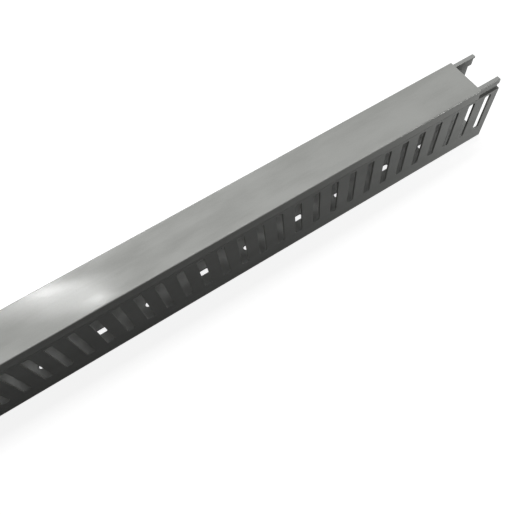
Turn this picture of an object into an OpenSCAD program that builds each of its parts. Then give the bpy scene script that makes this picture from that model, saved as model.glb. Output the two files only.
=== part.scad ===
// Slotted wire duct: a punched U-shaped base with a rail along the top of
// each side wall, and a cover that clips over both rails and slides on them.
// The length runs along X, the width along Y, and the underside is at z = 0.

/* [Duct] */
// Length of the base and of the cover
duct_length = 1000; // [300:50:2000]
// Outside width, over the side walls
duct_width = 40; // [30:5:120]
// Height from the underside to the top of the closed cover
duct_height = 80; // [50:5:120]
// Thickness of the side walls and of the rails
wall = 1.8; // [1.4:0.1:2.4]
// Thickness of the floor
floor_thickness = 2; // [1.4:0.1:3]
// Radius of the long bottom corners
corner_radius = 1.2; // [0.4:0.1:2]

/* [Wall slots] */
// Width of a wire slot
slot_width = 7; // [4:0.5:10]
// Distance from one wire slot to the next
slot_pitch = 18.3; // [14:0.1:30]
// Height of the solid strip under the slots
slot_sill = 18; // [8:1:30]
// Height of the solid strip between the slots and the shoulder
slot_strip = 3; // [1:0.5:8]
// Radius of a slot's corners
slot_corner = 1.5; // [0.5:0.1:2]
// Distance from the end of the base to the middle of the first slot
first_slot = 11; // [7:0.5:20]

/* [Mounting slots] */
// Width of a mounting slot in the floor
mount_width = 5; // [3:0.5:7]
// Length of a mounting slot, over its round ends
mount_length = 14; // [9:0.5:20]
// Distance from one mounting slot to the next
mount_pitch = 50; // [25:1:100]
// Distance from the end of the base to the middle of the first one
first_mount = 52.5; // [20:0.5:60]

/* [Rails] */
// Width of each rail's lip, from the outside of its neck inwards
lip_width = 3; // [2.2:0.1:6]
// Bevel along the top outer edge of each rail
rail_bevel = 0.7; // [0.3:0.1:1]

/* [Cover] */
// Thickness of the cover
cover_thickness = 1.5; // [1:0.1:2]
// Height of the cover's skirts, over its top
skirt_height = 11; // [9:0.5:16]
// Radius of the cover's long top edges
cover_radius = 1; // [0.3:0.1:1.2]
// How far the cover's hooks reach under the rails' beads
hook_bite = 0.9; // [0.4:0.1:1.2]
// Height of the flat tip of a hook
hook_tip = 2; // [0.4:0.1:3]
// How far the cover is slid back from the end of the base
cover_setback = 24; // [0:1:200]

/* [Clearances] */
// Side gap between the cover and the rails
side_gap = 0.2; // [0.1:0.05:0.4]
// Gap above the rails, under the skirts and over the hooks
height_gap = 0.3; // [0.1:0.05:0.5]

/* [Hidden] */
$fn = 48;
overcut = 1;

half_width = duct_width / 2;
// The skirts end where the full width of the side walls begins.
skirt_end = duct_height - skirt_height;
shoulder = skirt_end - height_gap;
rail_top = duct_height - cover_thickness - height_gap;
// The hooks stand in from the skirts, and the beads stand out from the necks.
hook_depth = hook_bite + side_gap;
skirt_inside = half_width - cover_thickness;
neck_outside = skirt_inside - side_gap - hook_depth;
neck_inset = half_width - neck_outside;
hook_lead = hook_depth / 2;
hook_shelf = skirt_end + hook_lead + hook_tip;
bead_start = hook_shelf + height_gap;
// The inside of each wall slopes in at 45 degrees, a wall's thickness below the shoulder.
slope_start = shoulder - wall - neck_inset;
slot_height = shoulder - slot_strip - slot_sill;

slot_count = floor((duct_length - first_slot - slot_width) / slot_pitch) + 1;
mount_count = floor((duct_length - first_mount - mount_length) / mount_pitch) + 1;

// A flat rectangle with round corners, its lower left corner at the origin.
module rounded_square(size, radius) {
    translate([radius, 0]) square([size.x - 2 * radius, size.y]);
    translate([0, radius]) square([size.x, size.y - 2 * radius]);
    for (x = [radius, size.x - radius], y = [radius, size.y - radius])
        translate([x, y]) circle(r = radius);
}

// Runs a cross-section, drawn in Y and Z, along X from start.
module run_along_x(start, length) {
    translate([start, 0, 0]) rotate([90, 0, 90]) linear_extrude(length) children();
}

// The outline whose right-hand half is given, from the middle round to the middle.
module symmetric_outline(right) {
    left = [for (i = [len(right) - 1 : -1 : 0]) [-right[i].x, right[i].y]];
    polygon(concat(right, left));
}

// Cuts a sharp corner round; inward points from the corner into the section.
module corner_cut(corner, inward, radius) {
    difference() {
        translate(corner + inward * (radius - overcut) / 2)
            square(radius + overcut, center = true);
        translate(corner + inward * radius) circle(r = radius);
    }
}

// The base's cross-section: a floor, two side walls, and on each wall a rail
// that steps in at the shoulder, rises as a neck, swells into a bead outside
// and turns into a lip inside.
module base_section() {
    neck_inside = neck_outside - wall;
    bead_outside = neck_outside + hook_depth;
    lip_inside = neck_outside - lip_width;
    difference() {
        symmetric_outline([
            [half_width, 0],
            [half_width, shoulder],
            [neck_outside, shoulder],
            [neck_outside, bead_start],
            [bead_outside, bead_start + hook_depth],
            [bead_outside, rail_top - rail_bevel],
            [bead_outside - rail_bevel, rail_top],
            [lip_inside, rail_top],
            [lip_inside, rail_top - wall],
            [neck_inside, rail_top - wall],
            [neck_inside, shoulder - wall],
            [half_width - wall, slope_start],
            [half_width - wall, floor_thickness],
        ]);
        for (side = [-1, 1])
            corner_cut([side * half_width, 0], [-side, 1], corner_radius);
    }
}

// A wire slot's cutter, through both side walls, centred on x = 0.
module wire_slot() {
    translate([-slot_width / 2, half_width + overcut, slot_sill])
        rotate([90, 0, 0])
            linear_extrude(duct_width + 2 * overcut)
                rounded_square([slot_width, slot_height], slot_corner);
}

// A mounting slot's cutter, down through the floor, centred on x = 0.
module mounting_slot() {
    reach = (mount_length - mount_width) / 2;
    translate([0, 0, -overcut])
        linear_extrude(floor_thickness + 2 * overcut) {
            square([2 * reach, mount_width], center = true);
            for (x = [-reach, reach])
                translate([x, 0]) circle(d = mount_width);
        }
}

// The base: one extrusion, punched along both walls and the floor.
module slotted_base() {
    color([0.57, 0.575, 0.565])
    difference() {
        run_along_x(-duct_length / 2, duct_length) base_section();
        for (i = [0 : slot_count - 1])
            translate([duct_length / 2 - first_slot - i * slot_pitch, 0, 0]) wire_slot();
        for (i = [0 : mount_count - 1])
            translate([duct_length / 2 - first_mount - i * mount_pitch, 0, 0]) mounting_slot();
    }
}

// The cover's cross-section: a flat top and two skirts, with a hook along the
// foot of each skirt that has a lead-in below and a shelf above.
module cover_section() {
    hook_inside = skirt_inside - hook_depth;
    difference() {
        symmetric_outline([
            [half_width, duct_height],
            [half_width, skirt_end],
            [hook_inside + hook_lead, skirt_end],
            [hook_inside, skirt_end + hook_lead],
            [hook_inside, hook_shelf],
            [skirt_inside, hook_shelf + hook_depth],
            [skirt_inside, duct_height - cover_thickness],
        ]);
        for (side = [-1, 1])
            corner_cut([side * half_width, duct_height], [-side, -1], cover_radius);
    }
}

// The cover, slid back along the rails.
module cover() {
    color([0.6, 0.605, 0.595])
        run_along_x(-duct_length / 2 - cover_setback, duct_length) cover_section();
}

slotted_base();
cover();
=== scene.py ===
# %% [markdown]
# # A slotted wire duct, dressed for a studio view
#
# Wire duct is two lengths of extruded plastic. The base is a deep channel with
# slots punched along both walls, and the cover clips over its rails. Both come
# exact and finished in shape from the frame, so this file gives them what the
# frame can't hold: the look of drawn and punched plastic, light and a view.

# %% Load the frame
import math

import bmesh
import bpy
from mathutils import Euler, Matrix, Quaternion, Vector


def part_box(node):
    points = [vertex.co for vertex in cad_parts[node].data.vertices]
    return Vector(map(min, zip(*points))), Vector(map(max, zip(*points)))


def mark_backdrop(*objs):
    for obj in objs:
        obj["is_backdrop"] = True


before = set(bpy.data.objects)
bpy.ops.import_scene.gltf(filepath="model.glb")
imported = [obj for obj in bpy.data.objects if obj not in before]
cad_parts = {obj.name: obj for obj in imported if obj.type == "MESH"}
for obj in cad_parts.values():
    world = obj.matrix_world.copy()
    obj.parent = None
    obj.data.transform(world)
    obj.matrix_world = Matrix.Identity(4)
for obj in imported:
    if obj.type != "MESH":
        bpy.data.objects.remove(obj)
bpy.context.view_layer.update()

# %% [markdown]
# ## The sizes that everything else is placed by
#
# The frame gives each piece's box. The duct's size is read from the boxes, and
# the camera and the lamps are placed from the bare end, which is the end of the
# base that the cover leaves open. A duct of another length then keeps its view.

# %% Name the sizes
MM = 0.001
base_low, base_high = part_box("slotted_base")
cover_low, cover_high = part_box("cover")
DUCT_LENGTH = base_high.x - base_low.x
DUCT_WIDTH = base_high.y - base_low.y
DUCT_HEIGHT = cover_high.z - base_low.z
BARE_END = base_high.x

print(f"duct: {DUCT_LENGTH:.3f} x {DUCT_WIDTH:.3f} x {DUCT_HEIGHT:.3f} m")

# %% [markdown]
# ## The camera
#
# The view looks down on the bare end of the duct, which runs away to the left
# and out of the picture. A camera is easiest to read as a point that it looks
# at, a direction, a distance and a tilt, so a small function turns those four
# into a place. The shift moves the picture in its frame without turning it.

# %% Aim the camera
SENSOR = 36.0
VIEW_AIM = Vector((BARE_END - 224.5 * MM, 15 * MM, 0))
VIEW_TURN = math.radians(25.6)
VIEW_DIP = math.radians(61.2)
VIEW_TILT = math.radians(-7.0)
VIEW_DISTANCE = 532 * MM


def add_camera(name, aim, turn, dip, tilt, distance, lens, shift):
    """A camera at a distance from its aim; turn 0 looks along +Y, and dip looks down."""
    data = bpy.data.cameras.new(name)
    data.sensor_width = SENSOR
    data.lens = lens
    data.shift_x, data.shift_y = shift
    data.clip_start = 10 * MM
    camera = bpy.data.objects.new(name, data)
    bpy.context.scene.collection.objects.link(camera)
    flat = Vector((math.sin(turn), math.cos(turn), 0)) * math.cos(dip)
    look = flat - Vector((0, 0, math.sin(dip)))
    camera.location = aim - look * distance
    facing = Euler((math.pi / 2 - dip, 0, -turn)).to_matrix()
    camera.rotation_euler = (facing @ Euler((0, 0, tilt)).to_matrix()).to_euler()
    return camera


camera = add_camera("view", VIEW_AIM, VIEW_TURN, VIEW_DIP, VIEW_TILT, VIEW_DISTANCE,
                    lens=39.7, shift=(-0.020, -0.075))
bpy.context.scene.camera = camera
print("camera at", [round(v, 3) for v in camera.location])

# %% [markdown]
# ## The floor
#
# The duct lies on a white sheet that is far wider than the view. The one square
# face of a grid is all the shape that it needs. It is stage: it takes the
# shadow, and isn't part of the object. It lies a hair below the duct, so that
# the two never share a surface.

# %% Lay the floor
FLOOR_HALF = 6.0
FLOOR_DROP = 0.2 * MM


def add_floor():
    """A flat white sheet just under the duct."""
    sheet = bmesh.new()
    bmesh.ops.create_grid(sheet, x_segments=1, y_segments=1, size=FLOOR_HALF)
    bmesh.ops.translate(sheet, verts=sheet.verts, vec=(0, 0, -FLOOR_DROP))
    mesh = bpy.data.meshes.new("floor")
    sheet.to_mesh(mesh)
    sheet.free()
    floor = bpy.data.objects.new("floor", mesh)
    bpy.context.scene.collection.objects.link(floor)
    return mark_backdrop(floor) or floor


floor = add_floor()
print("floor half width:", FLOOR_HALF, "m")

# %% [markdown]
# ## Node helpers
#
# A material here is a small graph of nodes. It could be wired node by node, but
# the same few steps come back in every graph, so each gets a helper: adding a
# node, a sum of two numbers, a ramp, a noise whose grain may be stretched along
# the duct, a blend of two colours, a bump, and a test for the rays that show a
# surface.

# %% Write the node helpers


def add_node(tree, kind, **settings):
    """A shader node. A setting is a property, or the value of an input socket."""
    node = tree.nodes.new("ShaderNode" + kind)
    for name, value in settings.items():
        title = name.replace("_", " ").title()
        if title in node.inputs:
            node.inputs[title].default_value = value
        else:
            setattr(node, name, value)
    return node


def math_node(tree, operation, first, second=None):
    """The result of one sum on numbers or sockets."""
    node = add_node(tree, "Math", operation=operation)
    for socket, value in zip(node.inputs, (first, second)):
        if isinstance(value, bpy.types.NodeSocket):
            tree.links.new(value, socket)
        elif value is not None:
            socket.default_value = value
    return node.outputs[0]


def ramp_between(tree, value, low, high, out_low=0.0, out_high=1.0):
    """Maps low to high onto out_low to out_high, and holds it outside them."""
    node = add_node(tree, "MapRange", interpolation_type="SMOOTHSTEP")
    tree.links.new(value, node.inputs["Value"])
    for name, number in (("From Min", low), ("From Max", high),
                         ("To Min", out_low), ("To Max", out_high)):
        node.inputs[name].default_value = number
    return node.outputs[0]


def grain(tree, place, per_metre, detail=2.0, roughness=0.5):
    """A noise with so many grains to the metre along X, Y and Z."""
    stretch = add_node(tree, "Mapping")
    stretch.inputs["Scale"].default_value = per_metre
    tree.links.new(place, stretch.inputs["Vector"])
    noise = add_node(tree, "TexNoise", scale=1.0, detail=detail, roughness=roughness)
    tree.links.new(stretch.outputs[0], noise.inputs["Vector"])
    return noise.outputs["Fac"]


def mix_colour(tree, amount, first, second):
    """A blend of two colours, each a tuple or a socket."""
    node = add_node(tree, "Mix", data_type="RGBA")
    tree.links.new(amount, node.inputs["Factor"])
    for socket, value in ((node.inputs[6], first), (node.inputs[7], second)):
        if isinstance(value, bpy.types.NodeSocket):
            tree.links.new(value, socket)
        else:
            socket.default_value = (*value, 1.0)
    return node.outputs[2]


def bump(tree, height, distance, below=None):
    """A bump of so many metres, on top of the one below it."""
    node = add_node(tree, "Bump", strength=1.0, distance=distance)
    tree.links.new(height, node.inputs["Height"])
    if below is not None:
        tree.links.new(below, node.inputs["Normal"])
    return node.outputs[0]


def seen_ray(tree):
    """One for a ray that shows a surface, straight or in a reflection, and else nothing."""
    path = add_node(tree, "LightPath")
    seen = math_node(tree, "MAXIMUM", path.outputs["Is Camera Ray"],
                     path.outputs["Is Glossy Ray"])
    return math_node(tree, "MAXIMUM", seen, path.outputs["Is Transmission Ray"])


print("node helpers: add_node, math_node, ramp_between, grain, mix_colour, bump, seen_ray")

# %% [markdown]
# ## Drawn and punched plastic
#
# The die that draws the plastic leaves faint lines along its length, and the
# skin cools into shallow waves, which is why a highlight on it wobbles. The
# plastic is mixed unevenly, so its grey is clouded. A punch or a saw tears
# instead: its faces are paler and dull. The sawn ends and the punched sides of
# the slots look along X, and no drawn face does, so a face's own direction
# tells the two kinds apart.
#
# An image could show all this, but it would have to be laid out over a metre of
# duct. Noise needs no layout, and its grain keeps its real size anywhere.

# %% Name the grain of the plastic
# Each is so many grains to the metre, along X, Y and Z.
CLOUDS = (14, 45, 45)
DIE_LINES = (4, 420, 420)
SPECKS = (900, 900, 900)
WAVES = (7, 30, 30)
DIE_LINE_DEPTH = 0.004 * MM
SPECK_DEPTH = 0.006 * MM

# What each grain adds to the mottle, and the span of it that blends the colours.
CLOUD_SHARE, LINE_SHARE, SPECK_SHARE = 0.7, 0.12, 0.18
MOTTLE_FROM, MOTTLE_TO = 0.35, 0.65

# The clouds make the skin a little smoother or duller, and a tear dulls it more.
CLOUD_FROM, CLOUD_TO = 0.3, 0.7
SMOOTHER, DULLER = -0.04, 0.05
TORN_DULLNESS = 0.3
TORN_FROM, TORN_TO = 0.6, 0.8
PLASTIC_IOR = 1.53

print("die lines:", round(1 / (DIE_LINES[1] * MM), 1), "mm apart; specks:",
      round(1 / (SPECKS[0] * MM), 1), "mm apart")

# %% Make the plastic


def torn_faces(tree, coordinates):
    """One on the sawn ends and the punched sides of the slots, and else nothing."""
    split = add_node(tree, "SeparateXYZ")
    tree.links.new(coordinates.outputs["Normal"], split.inputs[0])
    along = math_node(tree, "ABSOLUTE", split.outputs["X"])
    return ramp_between(tree, along, TORN_FROM, TORN_TO)


def drawn_plastic(name, colour, pale, torn, roughness, shine, wave):
    """Plastic of one colour, clouded towards a paler one, with torn ends."""
    material = bpy.data.materials.new(name)
    material.use_nodes = True
    tree = material.node_tree
    shader = tree.nodes["Principled BSDF"]
    coordinates = add_node(tree, "TexCoord")
    place = coordinates.outputs["Object"]
    cut = torn_faces(tree, coordinates)

    clouds = grain(tree, place, CLOUDS, detail=4.0, roughness=0.6)
    lines = grain(tree, place, DIE_LINES, detail=2.0, roughness=0.6)
    specks = grain(tree, place, SPECKS, detail=2.0)
    fine = math_node(tree, "ADD", math_node(tree, "MULTIPLY", lines, LINE_SHARE),
                     math_node(tree, "MULTIPLY", specks, SPECK_SHARE))
    mottle = math_node(tree, "ADD", math_node(tree, "MULTIPLY", clouds, CLOUD_SHARE), fine)
    blend = ramp_between(tree, mottle, MOTTLE_FROM, MOTTLE_TO)
    skin = mix_colour(tree, blend, colour, pale)
    tree.links.new(mix_colour(tree, cut, skin, torn), shader.inputs["Base Color"])

    dull = ramp_between(tree, clouds, CLOUD_FROM, CLOUD_TO,
                        roughness + SMOOTHER, roughness + DULLER)
    dull = math_node(tree, "ADD", dull, math_node(tree, "MULTIPLY", cut, TORN_DULLNESS))
    tree.links.new(dull, shader.inputs["Roughness"])
    shader.inputs["IOR"].default_value = PLASTIC_IOR
    shader.inputs["Specular IOR Level"].default_value = shine

    soft = bump(tree, grain(tree, place, WAVES, detail=1.0), wave)
    drawn = bump(tree, lines, DIE_LINE_DEPTH, below=soft)
    speckled = bump(tree, specks, SPECK_DEPTH, below=drawn)
    tree.links.new(speckled, shader.inputs["Normal"])
    print(name, "made with", len(tree.nodes), "nodes")
    return material


# %% [markdown]
# ## Dressing the two pieces
#
# Both pieces are drawn from one plastic. The base's grey is set a little darker
# than the cover's. That is painted shade, which deepens the shade on its walls.
# The base is also a little duller, because its walls are punched and handled,
# and it bears the deeper waves of a wide thin wall. The cover is smoother and
# keeps a shine.

# %% Dress the base and the cover


def finish_node(node, material):
    """Gives a piece of the frame one material."""
    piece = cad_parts[node]
    piece.data.materials.clear()
    piece.data.materials.append(material)


# The base's darker grey is painted shade for its walls; the plastic is the cover's.
base_plastic = drawn_plastic("base_plastic", (0.265, 0.27, 0.26), (0.30, 0.305, 0.295),
                             torn=(0.42, 0.425, 0.41), roughness=0.45, shine=0.3,
                             wave=0.25 * MM)
cover_plastic = drawn_plastic("cover_plastic", (0.30, 0.305, 0.29), (0.34, 0.345, 0.33),
                              torn=(0.45, 0.455, 0.44), roughness=0.15, shine=0.4,
                              wave=0.06 * MM)
finish_node("slotted_base", base_plastic)
finish_node("cover", cover_plastic)
print("dressed:", sorted(material.name for material in bpy.data.materials))

# %% [markdown]
# ## Light
#
# Two long soft lamps hang behind the duct. The key hangs high and lights the
# cover. The back fill hangs lower, and shines through the slots of the far wall
# onto the channel's floor, so that the inside can be read. Both leave the wall
# that faces the view in shade. A narrow strip is there for the glint that it
# leaves across the cover. A small lamp stands by the bare end, no higher than
# the cover, and opens up the shaded wall there. None of them hangs where the
# sliding cover comes past.
#
# One big lamp overhead would be simpler, but it would leave the inside black
# and give the cover no glint. The lamps are placed from the middle of the bare
# end, in metres.

# %% Hang the lamps


def add_lamp(name, place, aim, size, watts, turn=0.0):
    """A soft rectangular lamp, sized in metres, that faces its aim, turned about its beam."""
    data = bpy.data.lights.new(name, "AREA")
    data.shape = "RECTANGLE"
    data.size, data.size_y = size
    data.energy = watts
    lamp = bpy.data.objects.new(name, data)
    bpy.context.scene.collection.objects.link(lamp)
    lamp.location = place
    facing = (aim - place).to_track_quat("-Z", "Y")
    lamp.rotation_euler = (facing @ Quaternion((0, 0, 1), turn)).to_euler()
    return lamp


end_middle = Vector((BARE_END, 0, 50 * MM))
add_lamp("key", end_middle + Vector((-0.35, 0.62, 2.20)), end_middle - Vector((0.35, 0, 0)),
         size=(3.0, 0.5), watts=33)
add_lamp("back_fill", end_middle + Vector((-0.35, 1.55, 1.75)), end_middle - Vector((0.35, 0, 0)),
         size=(1.6, 0.4), watts=21)
add_lamp("glint", end_middle + Vector((-0.65, 0.73, 1.25)), end_middle - Vector((0.40, 0, 0)),
         size=(0.34, 0.05), watts=1.6, turn=math.radians(-50))
add_lamp("end_fill", end_middle + Vector((0.08, -0.24, 0.02)), end_middle,
         size=(0.15, 0.06), watts=0.32)
print("lamps hung:", {lamp.name: lamp.energy for lamp in bpy.data.lights})

# %% [markdown]
# ## The world
#
# The world gives a little light from everywhere. To the view, and to a
# reflection, it is plain white, so that it carries on where the floor ends. Were
# its light as strong as its white looks, it would fill the shade of the walls.

# %% Light the world


def white_studio(light):
    """A world that looks white and gives so much light."""
    world = bpy.data.worlds.new("studio")
    world.use_nodes = True
    tree = world.node_tree
    sky = tree.nodes["Background"]
    sky.inputs["Color"].default_value = (1, 1, 1, 1)
    strength = ramp_between(tree, seen_ray(tree), 0.0, 1.0, light, 1.0)
    tree.links.new(strength, sky.inputs["Strength"])
    return world


bpy.context.scene.world = white_studio(light=0.10)
bpy.context.scene.view_settings.view_transform = "Standard"
print("world lit:", bpy.context.scene.world.name)

# %% [markdown]
# ## The floor's white
#
# The sheet reads as white to the view. Part of that white is its own and part
# is lit, which keeps the duct's shadow pale. Far from the duct the sheet's own
# white grows into the world's, so that no line shows where the sheet ends. A
# reflection sees the lit sheet. The sheet gives back much less of the light that
# falls on it, so that the walls stay in their shade.

# %% Paint the floor


def floor_paint(own_white, lit_white, bounce, plain_from, plain_to):
    """A sheet that is white to look at, and darker for the light it gives back.

    Between two distances from its middle it turns into the world's plain white.
    """
    material = bpy.data.materials.new("floor_paint")
    material.use_nodes = True
    tree = material.node_tree
    tree.nodes.remove(tree.nodes["Principled BSDF"])
    path = add_node(tree, "LightPath")
    straight = math_node(tree, "MAXIMUM", path.outputs["Is Camera Ray"],
                         path.outputs["Is Transmission Ray"])
    seen = seen_ray(tree)
    matt = add_node(tree, "BsdfDiffuse")
    tree.links.new(mix_colour(tree, seen, (bounce,) * 3, (lit_white,) * 3), matt.inputs["Color"])
    glow = add_node(tree, "Emission")
    away = add_node(tree, "VectorMath", operation="LENGTH")
    tree.links.new(add_node(tree, "TexCoord").outputs["Object"], away.inputs[0])
    white = ramp_between(tree, away.outputs["Value"], plain_from, plain_to, own_white, 1.0)
    tree.links.new(math_node(tree, "MULTIPLY", straight, white), glow.inputs["Strength"])
    both = add_node(tree, "AddShader")
    tree.links.new(matt.outputs[0], both.inputs[0])
    tree.links.new(glow.outputs[0], both.inputs[1])
    tree.links.new(both.outputs[0], tree.nodes["Material Output"].inputs["Surface"])
    return material


floor.data.materials.append(floor_paint(own_white=0.86, lit_white=0.30, bounce=0.04,
                                        plain_from=0.8, plain_to=2.0))
print("floor painted with", floor.data.materials[0].name)
